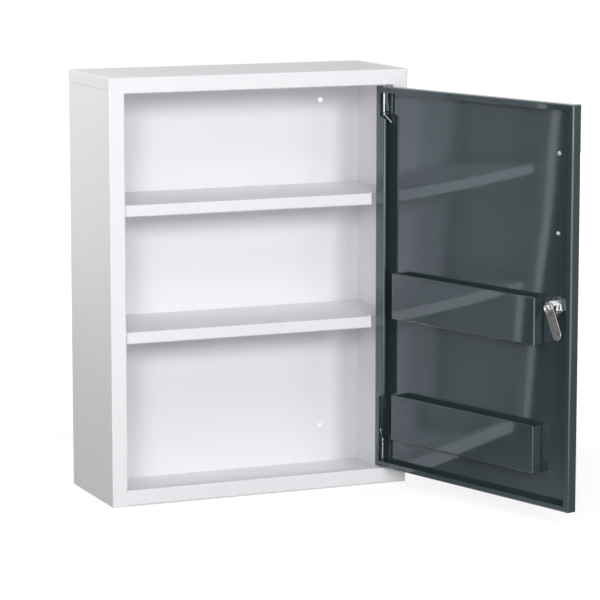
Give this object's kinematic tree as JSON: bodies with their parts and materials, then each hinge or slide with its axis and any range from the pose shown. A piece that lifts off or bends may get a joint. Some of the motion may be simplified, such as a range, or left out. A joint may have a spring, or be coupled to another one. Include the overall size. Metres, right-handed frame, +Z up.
{
  "type": "lockable medicine cabinet",
  "caption": "Shallow folded-steel wall cabinet for medicines, with shelves and a hinged door that carries bins, a pull handle and a key-operated cam lock.",
  "frame": {"origin": "centre of the carcass's underside, where it stands or from where its height is measured", "axes": "+X to the hinge side, seen from the front; +Y back to the wall; +Z up. The door is stored open."},
  "size_m": [0.4876, 0.4823, 0.5334],
  "materials": {
    "white_steel": "satin white powder coat",
    "grey_steel": "satin slate grey powder coat",
    "zinc_steel": "bright zinc plate",
    "chrome": "polished"
  },
  "bodies": {
    "cabinet": {"top_cap": "white_steel", "left_side": "white_steel", "right_side": "white_steel", "bottom_pan": "white_steel", "back_panel": "white_steel", "upper_shelf": "white_steel", "lower_shelf": "white_steel"},
    "door": {"door_pan": "grey_steel", "upper_pocket": "grey_steel", "lower_pocket": "grey_steel", "upper_pin_guide": "grey_steel", "lower_pin_guide": "grey_steel", "lock_barrel": "chrome", "lock_nut": "chrome", "handle": "chrome", "handle_screws": "zinc_steel"},
    "upper_pin": {"upper_hinge_pin": "zinc_steel"},
    "lower_pin": {"lower_hinge_pin": "zinc_steel", "lower_pin_collar": "zinc_steel"},
    "lock_core": {"lock_plug": "zinc_steel", "lock_cam": "chrome", "cam_washer": "zinc_steel", "cam_screw": "chrome"}
  },
  "joints": [
    {"name": "door_hinge", "type": "hinge", "parent": "cabinet", "child": "door", "pos_m": [0.1704, -0.0693, 0.2667], "axis": [0, 0, 1], "range_deg": [-106, 1.5]},
    {"name": "upper_pin_slide", "type": "slide", "parent": "door", "child": "upper_pin", "axis": [0, 0, 1], "range_m": [-0.006, 0]},
    {"name": "lower_pin_slide", "type": "slide", "parent": "door", "child": "lower_pin", "axis": [0, 0, 1], "range_m": [0, 0.006]},
    {"name": "lock_turn", "type": "hinge", "parent": "door", "child": "lock_core", "pos_m": [0.24986, -0.37254, 0.2667], "axis": [-0.9613, -0.2756, 0], "range_deg": [-25, 65]}
  ]
}
